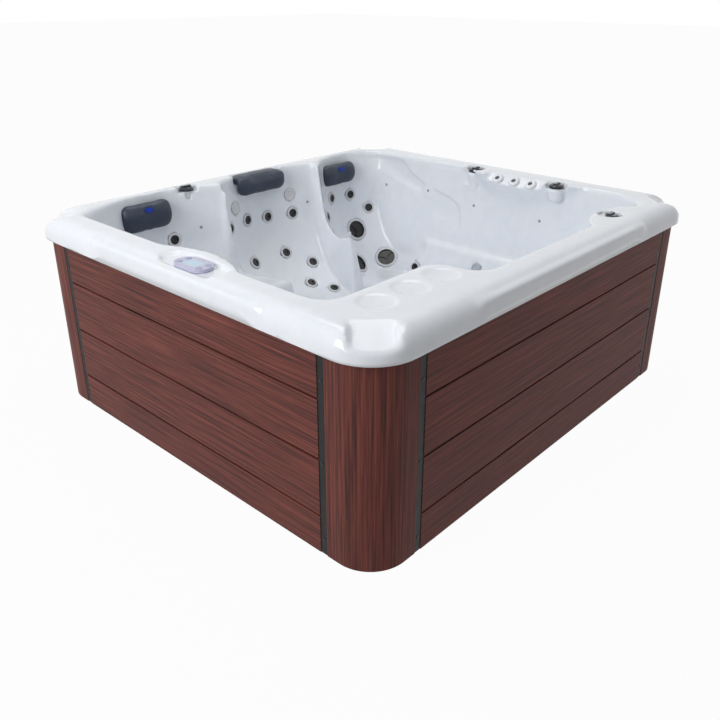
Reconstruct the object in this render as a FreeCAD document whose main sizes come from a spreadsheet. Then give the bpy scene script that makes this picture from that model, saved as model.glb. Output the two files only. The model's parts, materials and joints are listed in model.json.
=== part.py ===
import FreeCAD, Part
import Sketcher
import math
import os
import re

# A free-standing hot tub: a moulded white shell with bucket seats, carried by a timber
# frame on a base pan and clad with wood-grain boards between rounded corner posts.
# Frame: +Z up, origin at the bottom centre, X along the long side, front face at -Y.
# Lengths are in millimetres, angles in degrees, and values named share follow another size.

SIZES = {
    # Overall
    "overall_length": 2200,
    "overall_width": 2000,
    "overall_height": 850,
    "overrun": 2,
    # Shell lip and rim
    "shell_wall": 8,
    "lip_overhang": 25,
    "lip_height": 92,
    "lip_round": 70,
    "facet_inset": 145,
    "facet_tilt": 22.5,
    "facet_width": 150,
    "bead_width": 45,
    "bead_drop": 14,
    "bead_round": 12,
    "bead_corner_radius": 20,
    "bead_end": 490,
    "rim_side": 145,
    "rim_front": 140,
    "rim_back": 110,
    "basin_draft": 6,
    "basin_corner_radius": 190,
    # Deck in the front left corner, with its three round recesses
    "deck_reach": 700,
    "deck_width": 345,
    "deck_corner_radius": 90,
    "cup_radius": 62,
    "cup_depth": 4,
    "cup_pitch": 164,
    "cup_side_inset": 259,
    "cup_front_inset": 229,
    # Levels of the basin
    "bench_height": 400,
    "seat_height": 190,
    "footwell_height": 90,
    # Lower basin and footwell
    "lower_right_inset": 220,
    "lower_left_inset": 540,
    "lower_front_inset": 520,
    "lower_back_inset": 530,
    "lower_reach_inset": 360,
    "bench_back_inset": 480,
    "lower_draft": 12,
    "lower_radius": 170,
    "footwell_step": 130,
    "footwell_radius": 120,
    # Bucket seats along the back: radius at the knee, lower down and at the floor
    "left_radius": 700,
    "left_mid_radius": 675,
    "left_floor_radius": 600,
    "left_knee_drop": 200,
    "left_mid_share": 0.48,
    "left_x_share": -0.2545,
    "middle_radius": 800,
    "middle_mid_radius": 726,
    "middle_floor_radius": 340,
    "middle_knee_drop": 200,
    "middle_mid_share": 0.4565,
    "middle_x_share": 0.0523,
    "middle_half_width": 315,
    "corner_radius": 345,
    "corner_mid_radius": 277,
    "corner_floor_radius": 112,
    "corner_knee_drop": 210,
    "corner_mid_share": 0.4556,
    "corner_x_share": 0.318,
    "corner_half_width": 260,
    "left_half_width": 360,
    "cheek_draft": 3,
    "cheek_radius": 50,
    "cheek_angle": 30,
    "seat_front_inset": 700,
    "armrest_left": 120,
    "armrest_right": 140,
    "armrest_back": 203,
    # Swellings of the rim that carry the controls
    "air_boss_radius": 740,
    "air_boss_depth": 105,
    "air_boss_drop": 170,
    "air_boss_y_share": -0.08,
    "panel_boss_radius": 446,
    "panel_boss_depth": 70,
    "panel_boss_drop": 110,
    "panel_boss_y_share": -0.012,
    "valve_boss_radius": 300,
    "valve_boss_depth": 95,
    "valve_boss_drop": 110,
    "valve_boss_x_share": 0.268,
    # Cabinet
    "skirt_base": 6,
    "skirt_drop": 75,
    "board_thickness": 12,
    "board_groove": 8,
    "groove_height": 153,
    "board_pitch": 218,
    "backing_thickness": 5,
    "post_radius": 150,
    "post_reach": 206,
    "strip_width": 30,
    "strip_recess": 2,
    "screw_radius": 6,
    "screw_height": 2,
    "screw_margin": 60,
    "screw_top_margin": 120,
    # Timber frame and base pan
    "pan_height": 24,
    "timber_depth": 34,
    "timber_height": 60,
    "timber_width": 60,
    "timber_drop": 100,
    # Pillows
    "pillow_depth": 62,
    "pillow_gap": 0.5,
    "left_pillow_length": 266,
    "left_pillow_height": 146,
    "left_pillow_drop": 172,
    "left_pillow_x_share": -0.2731,
    "left_pillow_sink": 15,
    "corner_pillow_length": 262,
    "corner_pillow_height": 132,
    "corner_pillow_drop": 170,
    "corner_pillow_x_share": 0.3017,
    "corner_pillow_sink": 4,
    "middle_pillow_length": 324,
    "middle_pillow_x_share": 0.0377,
    "middle_pillow_reach": 70,
    "middle_pillow_drop": 112,
    "middle_pillow_thickness": 44,
    "middle_pillow_front": 52,
    "middle_pillow_wall_gap": 16,
    "middle_pillow_crown": 6,
    "badge_length": 46,
    "badge_height": 22,
    "badge_depth": 4,
    # Control panel
    "panel_length": 168,
    "panel_width": 88,
    "panel_height": 13,
    "panel_corner_radius": 42,
    "panel_recess": 16,
    "panel_recess_length": 320,
    "panel_recess_width": 112,
    "panel_recess_radius": 40,
    "panel_inset": 92,
    "panel_y_share": -0.03,
    "panel_box_length": 130,
    "panel_box_width": 56,
    "panel_box_depth": 24,
    "display_length": 74,
    "display_width": 50,
    "display_thickness": 2,
    "button_radius": 12,
    "button_height": 5,
    "button_rise": 1.5,
    "button_edge": 1,
    "button_play": 0.6,
    "button_stroke": 1,
    # Diverter valves
    "diverter_radius": 37,
    "diverter_height": 18,
    "diverter_grip_width": 16,
    "diverter_grip_height": 6,
    "diverter_niche_radius": 54,
    "diverter_niche_depth": 27,
    "diverter_collar_radius": 33,
    "diverter_collar_height": 4,
    "diverter_body_radius": 24,
    "diverter_body_depth": 54,
    "diverter_stem_radius": 10,
    "diverter_stem_depth": 30,
    # Air controls on their sloping pad
    "air_tilt": 35,
    "air_inset": 197,
    "air_drop": 30,
    "air_pitch": 98,
    "air_pad_length": 330,
    "diverter_back_step": 275,
    "diverter_front_step": 230,
    "air_pad_reach": 120,
    "air_radius": 29,
    "air_height": 12,
    "air_dish_radius": 13,
    "air_dish_depth": 5,
    "air_collar_radius": 24,
    "air_collar_height": 2,
    "air_body_radius": 18,
    "air_body_depth": 50,
    "air_stem_radius": 8,
    "air_stem_depth": 26,
    # Jets
    "running_gap": 0.8,
    "hole_gap": 0.3,
    "small_flange_radius": 33,
    "small_flange_height": 5,
    "small_face_radius": 22.5,
    "small_face_seat": 6,
    "small_face_inset": 1.5,
    "small_body_radius": 27,
    "small_body_depth": 40,
    "small_stem_radius": 10,
    "small_stem_depth": 20,
    "small_nozzle_radius": 6,
    "small_nozzle_offset": 8,
    "large_flange_radius": 65,
    "large_flange_height": 8,
    "large_face_radius": 51,
    "large_face_seat": 9,
    "large_face_inset": 2,
    "large_body_radius": 56,
    "large_body_depth": 56,
    "large_stem_radius": 14,
    "large_stem_depth": 28,
    "large_rib_width": 7,
    "large_rib_depth": 6,
    "large_hub_radius": 11,
    "large_pad_margin": 6,
    # Small fittings in the walls
    "injector_radius": 8,
    "injector_height": 2,
    "injector_stem_radius": 4,
    "injector_stem_depth": 14,
    "lens_radius": 30,
    "lens_height": 7,
    "lens_body_radius": 26,
    "lens_body_depth": 30,
    "suction_radius": 62,
    "suction_height": 16,
    "suction_body_radius": 40,
    "suction_body_depth": 40,
    "suction_pitch": 420,
    "suction_drop": 110,
    # Equipment under the deck
    "pump_radius": 70,
    "pump_length": 230,
    "pump_axis": 115,
    "pump_foot_width": 110,
    "wet_end_radius": 80,
    "wet_end_length": 80,
    "pump_inset": 200,
    "pump_pitch": 170,
    "pump_front": 98,
    "pipe_radius": 25,
    "pipe_bore_radius": 21,
    "pipe_margin": 750,
    "cross_pipe_length": 700,
    "pack_length": 190,
    "pack_depth": 110,
    "pack_height": 230,
    "pack_base": 330,
    "heater_radius": 40,
    "heater_sink": 8,
    "filter_radius": 90,
    "filter_height": 420,
    "filter_lid_radius": 100,
    "filter_lid_height": 24,
    "filter_pitch": 195,
    "filter_inset": 200,
    # Worked out from the sizes above
    "half_length": "=overall_length / 2",
    "half_width": "=overall_width / 2",
    "cabinet_x": "=half_length - lip_overhang",
    "cabinet_y": "=half_width - lip_overhang",
    "lower_right": "=half_length - lower_right_inset",
    "lower_left": "=half_length - lower_left_inset",
    "lower_front": "=half_width - lower_front_inset",
    "lower_back": "=half_width - lower_back_inset",
    "lower_reach": "=half_width - lower_reach_inset",
    "bench_back": "=half_width - bench_back_inset",
    "seat_front": "=half_width - seat_front_inset",
    "pipe_length": "=overall_width - pipe_margin",
    "left_knee": "=overall_height - left_knee_drop",
    "middle_knee": "=overall_height - middle_knee_drop",
    "corner_knee": "=overall_height - corner_knee_drop",
    "timber_top": "=overall_height - timber_drop",
    "lip_bottom": "=overall_height - lip_height",
    "skirt_top": "=overall_height - skirt_drop",
    "skirt_height": "=skirt_top - skirt_base",
    "board_x": "=cabinet_x - post_reach - strip_width",
    "board_y": "=cabinet_y - post_reach - strip_width",
    "lining": "=board_thickness + backing_thickness",
    "frame_x": "=cabinet_x - lining",
    "frame_y": "=cabinet_y - lining",
    "seat_back": "=half_width - rim_back",
    "lip_corner_radius": "=post_radius + lip_overhang",
    "prop_inset": "=lip_round - lip_overhang - lining",
    "rim_under": "=overall_height - lip_round + sqrt((lip_round - shell_wall)^2 - prop_inset^2) - hole_gap",
}

# Jets, written as the share of the seat's half width from its axis and the share of the
# height from the seat's floor to its knee. The neck jets of the middle seat do not turn.
LEFT_JET_SHARES = ((0.264, 0.824),)
MIDDLE_JET_SHARES = (
    (-0.85, 0.895), (-0.40, 0.915), (0.06, 0.885), (0.575, 0.867),
    (-0.49, 0.455), (0.235, 0.45), (0.63, 0.305), (0.345, 0.135), (0.61, 0.068),
)
NECK_JET_SHARES = ((-0.66, 1.09), (0.55, 1.09))
CORNER_JET_SHARES = ((-0.33, 0.935), (0.28, 0.92), (0.66, 0.725), (-0.655, 0.75))
LARGE_JET_SHARES = ((0.24, 0.47), (-0.15, 0.115), (0.54, 0.125))
# Right wall: one jet and the lens on the lower wall, injectors on the upper wall, written as
# shares of the half width and of the height of that stretch of wall.
RIGHT_JET_SHARES = ((0.424, 0.215),)
LENS_SHARES = ((0.01, 0.62),)
RIGHT_INJECTOR_SHARES = ((0.733, 0.573), (0.42, 0.61), (0.1, 0.545), (-0.31, 0.53))
LEFT_INJECTOR_SHARES = ((0.65, 0.98),)
MIDDLE_INJECTOR_SHARES = ((0.87, 0.974),)
# Diverters: places on the rim as shares of the half length and half width.
AIR_DIVERTER_X_SHARES = (0.868, 0.841)
DIVERTER_SHARES = ((0.541, -0.838), (-0.323, 0.905))
BUTTON_SHARES = ((-0.23, -0.34), (0.23, -0.34), (-0.23, 0.34), (0.23, 0.34))
SCREW_SHARES = (0.0, 0.5, 1.0)
# Uprights of the frame, as shares of its half length or half width.
POST_X_SHARES = (-0.8, -0.5, 0.4, 0.8)
POST_Y_SHARES = (-0.78, -0.3, 0.3, 0.78)
PROP_X_SHARES = (-0.66, -0.5, 0.4, 0.66)
PROP_Y_SHARES = (-0.62, -0.3, 0.3, 0.62)
# Pillows: sections along the length, how full each is, and the points of a wall pillow's
# section as shares of its depth from the back and of its half height from the middle.
PILLOW_STATION_SHARES = (-0.5, -0.44, -0.24, 0.0, 0.24, 0.44, 0.5)
PILLOW_FULLNESS_SHARES = (0.62, 0.86, 0.98, 1.0, 0.98, 0.86, 0.62)
PILLOW_BACK_SHARE = 0.92
PILLOW_TOP_SHARES = (0.46, 0.96)
PILLOW_BROW_SHARES = (0.72, 0.76)
PILLOW_CHIN_SHARES = (0.78, -0.72)
PILLOW_UNDER_SHARES = (0.5, -0.96)
PILLOW_SHOULDER_SHARE = 0.3
PILLOW_TIP_SHARE = 0.4
BADGE_HEIGHT_SHARE = 0.74
# Turned fittings: how far the crest of a knob, a dish or a grip reaches of its radius.
CREST_SHARE = 0.8
GRIP_SHARE = 0.65
CUP_COUNT = 3
BOARD_COUNT = 4
PUMP_COUNT = 2
RIB_COUNT = 3

V = FreeCAD.Vector
UP = V(0, 0, 1)
doc = FreeCAD.newDocument("HotTub")
sheet = doc.addObject("Spreadsheet::Sheet", "Sizes")
for row, (alias, value) in enumerate(SIZES.items(), start=1):
    sheet.set(f"A{row}", alias)
    sheet.set(f"B{row}", str(value))
    sheet.setAlias(f"B{row}", alias)
doc.recompute()
nodes = []


# Helpers

def size(alias):
    """The value of one cell of the sheet."""
    return float(getattr(sheet, alias))


def bind(thing, expressions):
    """Binds properties of an object to sums of the sheet's cells."""
    for prop, text in expressions.items():
        full = re.sub(r"[a-z_]+", lambda m: "Sizes." + m[0] if m[0] in SIZES else m[0], text)
        thing.setExpression(prop, full)


def node(thing, label):
    """Names an object as one of the part's nodes."""
    thing.Label = label
    nodes.append(thing)
    return thing


def block(name, lengths, corner):
    """A box bound to the sheet, from its three lengths and its lowest corner."""
    box = doc.addObject("Part::Box", name)
    bind(box, dict(zip(("Length", "Width", "Height"), lengths)))
    bind(box, dict(zip(("Placement.Base.x", "Placement.Base.y", "Placement.Base.z"), corner)))
    return box


def group(label, members):
    """Separate solids kept together as one node."""
    compound = doc.addObject("Part::Compound", label)
    compound.Links = members
    return node(compound, label)


def feature(label, shape, place=None):
    """A shape made here from sizes of the sheet, set at its place."""
    thing = doc.addObject("Part::Feature", label)
    thing.Shape = shape
    if place is not None:
        thing.Placement = place
    return thing


def facing(point, direction):
    """The placement that carries the Z axis to a direction at a point."""
    return FreeCAD.Placement(point, FreeCAD.Rotation(UP, direction))


def turned(name, profile):
    """A body turned about Z from a closed profile of (radius, height) expressions."""
    body = doc.addObject("PartDesign::Body", name)
    sketch = body.newObject("Sketcher::SketchObject", name + "Profile")
    plane = next(f for f in body.Origin.OriginFeatures if f.Role == "XZ_Plane")
    sketch.AttachmentSupport = (plane, "")
    sketch.MapMode = "FlatFace"
    guess = [[evaluate(text) for text in pair] for pair in profile]
    count = len(profile)
    for i in range(count):
        start = V(*guess[i], 0)
        end = V(*guess[(i + 1) % count], 0)
        sketch.addGeometry(Part.LineSegment(start, end))
    for i in range(count):
        sketch.addConstraint(Sketcher.Constraint("Coincident", i, 2, (i + 1) % count, 1))
    for i, (radius, height) in enumerate(profile):
        for kind, axis, text, value in (
            ("DistanceX", -2, radius, guess[i][0]),
            ("DistanceY", -1, height, guess[i][1]),
        ):
            if value == 0:
                sketch.addConstraint(Sketcher.Constraint("PointOnObject", i, 1, axis))
                continue
            k = sketch.addConstraint(Sketcher.Constraint(kind, -1, 1, i, 1, value))
            bind(sketch, {f"Constraints[{k}]": text})
    turn = body.newObject("PartDesign::Revolution", name + "Turn")
    turn.Profile = sketch
    turn.ReferenceAxis = (sketch, ["V_Axis"])
    turn.Angle = 360
    body.Tip = turn
    return body


def evaluate(text):
    """The present value of a sum of cells."""
    return float(sheet.evalExpression(text))


def outline(corners, radii, height, grow=0.0):
    """A closed wire through corners taken anticlockwise, each rounded, moved outward by grow."""
    points = [V(x, y, 0) for x, y in corners]
    count = len(points)
    runs = [(points[(i + 1) % count] - points[i]).normalize() for i in range(count)]
    ends = []
    for i in range(count):
        before = runs[i - 1]
        after = runs[i]
        out_before = V(before.y, -before.x, 0)
        out_after = V(after.y, -after.x, 0)
        bend = before.x * after.y - before.y * after.x
        reach = (out_before + out_after) * (grow / (1 + out_before.dot(out_after)))
        corner = points[i] + reach
        radius = radii[i] + (grow if bend > 0 else -grow)
        half = math.acos(max(-1.0, min(1.0, before.dot(after)))) / 2
        cut = radius * math.tan(half)
        start = corner - before * cut
        end = corner + after * cut
        inward = (after - before).normalize()
        middle = corner + inward * (radius / math.cos(half) - radius)
        ends.append((start, middle, end))
    lift = V(0, 0, height)
    edges = []
    for i in range(count):
        start, middle, end = (p + lift for p in ends[i])
        edges.append(Part.Arc(start, middle, end).toShape())
        edges.append(Part.LineSegment(end, ends[(i + 1) % count][0] + lift).toShape())
    return Part.Wire(edges)


def tapered(corners, radii, low, high, draft, grow, level):
    """A prism whose outline is true at a level and draws in below it."""
    slope = math.tan(math.radians(draft))
    wires = [outline(corners, radii, z, grow - (level - z) * slope) for z in (low, high)]
    return Part.makeLoft(wires, True, True)


def prism(corners, radii, low, high):
    """An upright prism on a rounded outline."""
    face = Part.Face(outline(corners, radii, low))
    return face.extrude(V(0, 0, high - low))


def rectangle(left, right, front, back):
    """The corners of a rectangle, anticlockwise."""
    return [(left, front), (right, front), (right, back), (left, back)]


def cylinder_at(radius, low, high, place):
    """A cylinder along the Z axis of a placement."""
    solid = Part.makeCylinder(radius, high - low, V(0, 0, low))
    solid.Placement = place
    return solid


# The shell's moulded form

class Bucket:
    """A seat back turned about an upright axis: a leaning wall, a hollow below the knee, a floor."""

    def __init__(self, name, floor):
        self.x = size(name + "_x_share") * size("overall_length")
        self.half_width = size(name + "_half_width")
        self.knee = size(name + "_knee")
        self.floor = floor
        radius = size(name + "_radius")
        middle = floor + size(name + "_mid_share") * (self.knee - floor)
        self.y = size("seat_back") - radius
        hollow = Part.Arc(
            V(radius, self.knee, 0),
            V(size(name + "_mid_radius"), middle, 0),
            V(size(name + "_floor_radius"), floor, 0),
        ).toShape().Curve
        self.arc_r = hollow.Center.x
        self.arc_z = hollow.Center.y
        self.arc_radius = hollow.Radius
        self.lean = math.tan(math.radians(size("basin_draft")))

    def radius_at(self, z, grow=0.0):
        """The wall's distance from the axis at a height."""
        below = min(z, self.knee)
        radius = self.arc_r + math.sqrt((self.arc_radius + grow) ** 2 - (below - self.arc_z) ** 2)
        return radius + (z - below) * self.lean

    def solid(self, high, grow):
        """The seat's hollow, or with grow the outside of its wall."""
        floor = self.floor - grow
        heights = (floor, (self.knee + floor) / 2, self.knee)
        points = [V(self.radius_at(z, grow), 0, z) for z in heights]
        rim = V(self.radius_at(high, grow), 0, high)
        wire = Part.Wire([
            Part.LineSegment(V(0, 0, floor), points[0]).toShape(),
            Part.Arc(*points).toShape(),
            Part.LineSegment(points[2], rim).toShape(),
            Part.LineSegment(rim, V(0, 0, high)).toShape(),
            Part.LineSegment(V(0, 0, high), V(0, 0, floor)).toShape(),
        ])
        solid = Part.Face(wire).revolve(V(0, 0, 0), UP, 360)
        solid.translate(V(self.x, self.y, 0))
        return solid

    def spot(self, across_share, height_share):
        """The placement of a fitting on the wall, with its Z axis along the wall's normal."""
        z = self.floor + height_share * (self.knee - self.floor)
        radius = self.radius_at(z)
        angle = math.asin(across_share * self.half_width / radius)
        outward = V(math.sin(angle), math.cos(angle), 0)
        point = V(self.x, self.y, z) + outward * radius
        if z >= self.knee:
            return facing(point, outward * -1 + UP * self.lean)
        centre = V(self.x, self.y, self.arc_z) + outward * self.arc_r
        return facing(point, centre - point)


left_seat = Bucket("left", size("bench_height"))
middle_seat = Bucket("middle", size("seat_height"))
corner_seat = Bucket("corner", size("seat_height"))
wall = size("shell_wall")
top = size("overall_height")
past_top = top + size("overrun")
rim_x = size("half_length") - size("rim_side")
rim_y = size("half_width") - size("rim_front")
deck_x = size("deck_reach") - size("half_length")
deck_y = size("deck_width") - size("half_width")
cheek_left = middle_seat.x - size("middle_half_width")
cheek_right = middle_seat.x + size("middle_half_width")


def upper_basin(high, grow):
    """The basin down to the bench: the deck stands in one corner, an armrest parts two seats."""
    bench_back = size("bench_back")
    arm_left = cheek_left - size("armrest_left")
    arm_right = cheek_left + size("armrest_right")
    arm_back = size("half_width") - size("armrest_back")
    corners = [
        (deck_x, -rim_y), (rim_x, -rim_y), (rim_x, bench_back),
        (arm_right, bench_back), (arm_right, arm_back), (arm_left, arm_back), (arm_left, bench_back),
        (-rim_x, bench_back), (-rim_x, deck_y), (deck_x, deck_y),
    ]
    radii = [size("deck_corner_radius")] * len(corners)
    radii[1] = size("basin_corner_radius")
    low = size("bench_height") - grow
    return tapered(corners, radii, low, high, size("basin_draft"), grow, top)


def lower_basin(grow):
    """The deep part of the basin between the benches."""
    bench = size("bench_height")
    right = size("lower_right")
    left = -size("lower_left")
    corners = [
        (left, -size("lower_front")), (right, -size("lower_front")), (right, size("lower_reach")),
        (cheek_right, size("lower_reach")), (cheek_right, size("lower_back")),
        (left, size("lower_back")),
    ]
    radii = [size("lower_radius")] * len(corners)
    radii[3] = size("deck_corner_radius")
    radii[4] = size("cheek_radius")
    low = size("seat_height") - grow
    return tapered(corners, radii, low, bench + size("overrun"), size("lower_draft"), grow, bench)


def footwell(grow):
    """The lowest level, for the feet."""
    level = size("seat_height")
    slope = math.tan(math.radians(size("lower_draft")))
    step = size("footwell_step")
    inset = (size("bench_height") - level) * slope + step
    corners = rectangle(
        inset - size("lower_left"), size("lower_right") - inset - step,
        inset - size("lower_front"), size("lower_back") - inset - step,
    )
    shorter = min(corners[2][0] - corners[0][0], corners[2][1] - corners[0][1])
    radii = [min(size("footwell_radius"), shorter / 2 - size("overrun"))] * len(corners)
    low = size("footwell_height") - grow
    return tapered(corners, radii, low, level + size("overrun"), size("lower_draft"), grow, level)


def seats(high, grow):
    """The three bucket seats along the back, each between its cheeks."""
    front = size("seat_front")
    back = size("half_width")
    lean_in = size("middle_half_width") / 2
    turn = math.radians(size("cheek_angle"))
    knee_y = middle_seat.y + size("middle_radius") * math.cos(turn)
    left_cheeks = rectangle(-rim_x, cheek_left, front, back)
    middle_cheeks = [
        (cheek_left + lean_in, front), (cheek_right - lean_in / 2, front), (cheek_right, knee_y),
        (cheek_right, back), (cheek_left, back), (cheek_left, knee_y),
    ]
    corner_cheeks = rectangle(middle_seat.x, rim_x, front, back)
    solids = []
    for seat, cheeks, draft in (
        (left_seat, left_cheeks, size("basin_draft")),
        (middle_seat, middle_cheeks, size("cheek_draft")),
        (corner_seat, corner_cheeks, size("basin_draft")),
    ):
        low = seat.floor - grow - size("overrun")
        radii = [size("cheek_radius") + size("deck_corner_radius")] * len(cheeks)
        clip = tapered(cheeks, radii, low, past_top, draft, grow, top)
        solids.append(seat.solid(high, grow).common(clip))
    return solids


def swelling(name, centre_x, centre_y):
    """A swelling of the rim, a cone whose front dies away into the wall below."""
    radius = size(name + "_radius")
    drop = size(name + "_drop")
    base = V(centre_x, centre_y, top - drop)
    grow = size("overrun") * size(name + "_depth") / drop
    return Part.makeCone(radius - size(name + "_depth"), radius + grow, past_top - base.z, base)


def swellings():
    """The three swellings that carry the air controls, the control panel and one diverter."""
    air_x = rim_x - size("air_boss_depth") + size("air_boss_radius")
    panel_x = rim_x - size("panel_boss_depth") + size("panel_boss_radius")
    valve_y = rim_y - size("valve_boss_depth") + size("valve_boss_radius")
    return [
        swelling("air_boss", air_x, size("air_boss_y_share") * size("overall_width")),
        swelling("panel_boss", -panel_x, size("panel_boss_y_share") * size("overall_width")),
        swelling("valve_boss", size("valve_boss_x_share") * size("overall_length"), -valve_y),
    ]


def corbels():
    """What is left standing under each diverter where its niche reaches past the wall."""
    low = size("diverter_body_radius") + wall
    high = size("diverter_radius") + wall
    drop = size("diverter_body_depth") + wall
    return [Part.makeCone(low, high, drop, spot.Base - UP * drop) for spot in diverter_spots()]


def diverter_spots():
    """The four diverters stand upright on the floors of their niches, two at the ends of the air pad."""
    z = top - size("diverter_niche_depth")
    x = size("half_length")
    y = size("half_width")
    pad = size("air_boss_y_share") * size("overall_width")
    places = [(x_share * x, y_share * y) for x_share, y_share in DIVERTER_SHARES]
    places[:0] = [
        (AIR_DIVERTER_X_SHARES[0] * x, pad + size("diverter_back_step")),
        (AIR_DIVERTER_X_SHARES[1] * x, pad - size("diverter_front_step")),
    ]
    return [facing(V(*place, z), UP) for place in places]


def air_spots():
    """The three air controls in a row on the sloping pad."""
    tilt = math.radians(size("air_tilt"))
    normal = V(-math.sin(tilt), 0, math.cos(tilt))
    x = size("half_length") - size("air_inset")
    middle = size("air_boss_y_share") * size("overall_width")
    places = [middle + step * size("air_pitch") for step in (1, 0, -1)]
    return [facing(V(x, y, top - size("air_drop")), normal) for y in places]


def right_wall_spots(shares, low, high, x_high, draft):
    """Fittings on the right wall between two heights."""
    slope = math.radians(draft)
    normal = V(-math.cos(slope), 0, math.sin(slope))
    spots = []
    for y_share, z_share in shares:
        z = low + z_share * (high - low)
        point = V(x_high - (high - z) * math.tan(slope), y_share * size("half_width"), z)
        spots.append(facing(point, normal))
    return spots


def lower_right_spots(shares):
    """Fittings on the lower right wall."""
    low = size("seat_height")
    return right_wall_spots(shares, low, size("bench_height"), size("lower_right"), size("lower_draft"))


def suction_spots():
    """Two suction covers side by side in the middle of the lower basin's front wall."""
    slope = math.radians(size("lower_draft"))
    drop = size("suction_drop")
    y = drop * math.tan(slope) - size("lower_front")
    z = size("bench_height") - drop
    normal = V(0, math.cos(slope), math.sin(slope))
    middle = (size("lower_right") - size("lower_left")) / 2
    half = size("suction_pitch") / 2
    return [facing(V(x, y, z), normal) for x in (middle - half, middle + half)]


panel_centre = V(
    size("panel_inset") - size("half_length"),
    size("panel_y_share") * size("half_width") * 2,
    top - size("panel_recess"),
)
small_spots = [left_seat.spot(*shares) for shares in LEFT_JET_SHARES]
small_spots += [middle_seat.spot(*shares) for shares in MIDDLE_JET_SHARES]
small_spots += [corner_seat.spot(*shares) for shares in CORNER_JET_SHARES]
small_spots += lower_right_spots(RIGHT_JET_SHARES)
neck_spots = [middle_seat.spot(*shares) for shares in NECK_JET_SHARES]
large_spots = [corner_seat.spot(*shares) for shares in LARGE_JET_SHARES]
lens_spots = lower_right_spots(LENS_SHARES)
injector_spots = [left_seat.spot(*shares) for shares in LEFT_INJECTOR_SHARES]
injector_spots += [middle_seat.spot(*shares) for shares in MIDDLE_INJECTOR_SHARES]
injector_spots += right_wall_spots(
    RIGHT_INJECTOR_SHARES, size("bench_height"), top, rim_x, size("basin_draft")
)


def pillow_seat(name):
    """The centre of a wall pillow's back, low edge."""
    x = size(name + "_x_share") * size("overall_length")
    return V(x, size("seat_back") + size(name + "_sink"), top - size(name + "_drop"))


def recesses(high, grow):
    """Everything sunk in the rim and the upper walls: niches, the panel's bed, pillow beds."""
    solids = []
    for spot in diverter_spots():
        radius = size("diverter_niche_radius") + grow
        solids.append(cylinder_at(radius, -grow, high - spot.Base.z, spot))
    length = size("panel_recess_length") / 2
    width = size("panel_recess_width") / 2
    corners = rectangle(
        panel_centre.x - width - grow, panel_centre.x + width + grow,
        panel_centre.y - length - grow, panel_centre.y + length + grow,
    )
    radii = [size("panel_recess_radius") + grow] * len(corners)
    solids.append(prism(corners, radii, panel_centre.z - grow, high))
    for name in ("left_pillow", "corner_pillow"):
        seat = pillow_seat(name)
        gap = size("pillow_gap") + grow
        half = size(name + "_length") / 2 + gap
        depth = size("pillow_depth") + gap
        height = size(name + "_height") + 2 * gap
        corner = V(seat.x - half, seat.y - depth, seat.z - gap)
        solids.append(Part.makeBox(2 * half, depth + gap, height, corner))
    half = size("middle_pillow_length") / 2 + size("pillow_gap") + grow
    front = size("seat_back") - size("middle_pillow_front")
    back = size("seat_back") + size("middle_pillow_reach") + size("pillow_gap") + grow
    floor = top - size("middle_pillow_thickness") - grow
    x = size("middle_pillow_x_share") * size("overall_length")
    solids.append(Part.makeBox(2 * half, back - front, high - floor, V(x - half, front, floor)))
    return solids


def hollow(high, grow):
    """The whole inside of the tub up to a height, or with grow the outside of its wall."""
    solids = seats(high, grow) + recesses(high, grow) + [lower_basin(grow), footwell(grow)]
    basin = upper_basin(high, grow)
    if not grow:
        basin = basin.cut(swellings() + corbels())
    return basin.multiFuse(solids)


def round_over(solid, high, radius):
    """A prism with the edges of its top rounded over."""
    edges = [e for e in solid.Edges if e.BoundBox.ZMin > high - size("overrun")]
    return solid.makeFillet(radius, edges)


def lip_block(grow, low, high):
    """A block in the lip's outline moved outward by grow, rounded over, with its four tongues."""
    x = size("half_length") + grow
    y = size("half_width") + grow
    corners = rectangle(-x, x, -y, y)
    radii = [size("lip_corner_radius") + grow] * len(corners)
    solid = round_over(prism(corners, radii, low, high), high, size("lip_round") + grow)
    return solid.cut(Part.makeCompound(tongues(grow)))


def tongues(grow):
    """What is cut away above the flat tongue that slopes down at each corner."""
    tilt = FreeCAD.Rotation(V(0, 1, 0), size("facet_tilt"))
    inset = size("facet_inset")
    reach = size("lip_corner_radius")
    half = size("facet_width") / 2 - grow
    cuts = []
    for side_x, side_y in ((-1, -1), (1, -1), (1, 1), (-1, 1)):
        turn = FreeCAD.Rotation(UP, math.degrees(math.atan2(side_y, side_x))) * tilt
        start = V(side_x * (size("half_length") - inset), side_y * (size("half_width") - inset), top)
        tool = Part.makeBox(2 * reach, 2 * half, reach, V(-reach, -half, 0))
        tool.Placement = FreeCAD.Placement(start + turn.multVec(UP) * grow, turn)
        cuts.append(tool)
    return cuts


def beads():
    """A bead along the outer edge of each side of the lip, which ends before the corners."""
    x = size("half_length")
    y = size("half_width")
    width = size("bead_width")
    end_x = x - size("bead_end")
    end_y = y - size("bead_end")
    high = top - size("bead_drop")
    bars = []
    for sides in (
        (-end_x, end_x, -y, width - y), (-end_x, end_x, y - width, y),
        (-x, width - x, -end_y, end_y), (x - width, x, -end_y, end_y),
    ):
        corners = rectangle(*sides)
        radii = [size("bead_corner_radius")] * len(corners)
        bar = prism(corners, radii, top - size("lip_round"), high)
        bars.append(round_over(bar, high, size("bead_round")))
    return bars


def lip():
    """The rim and its rolled outer edge, one wall thick."""
    low = size("lip_bottom")
    outer = lip_block(0.0, low, top).multiFuse(beads())
    return outer.cut(lip_block(-wall, low - size("overrun"), top - wall))


def bores(spots, radius, depth, flange):
    """A flat seat for each fitting's flange, and the hole for its body."""
    gap = size("hole_gap")
    tools = []
    for spot in spots:
        tools.append(cylinder_at(flange + gap, 0, flange, spot))
        tools.append(cylinder_at(radius + gap, -depth - gap, size("overrun"), spot))
    return tools


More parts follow.
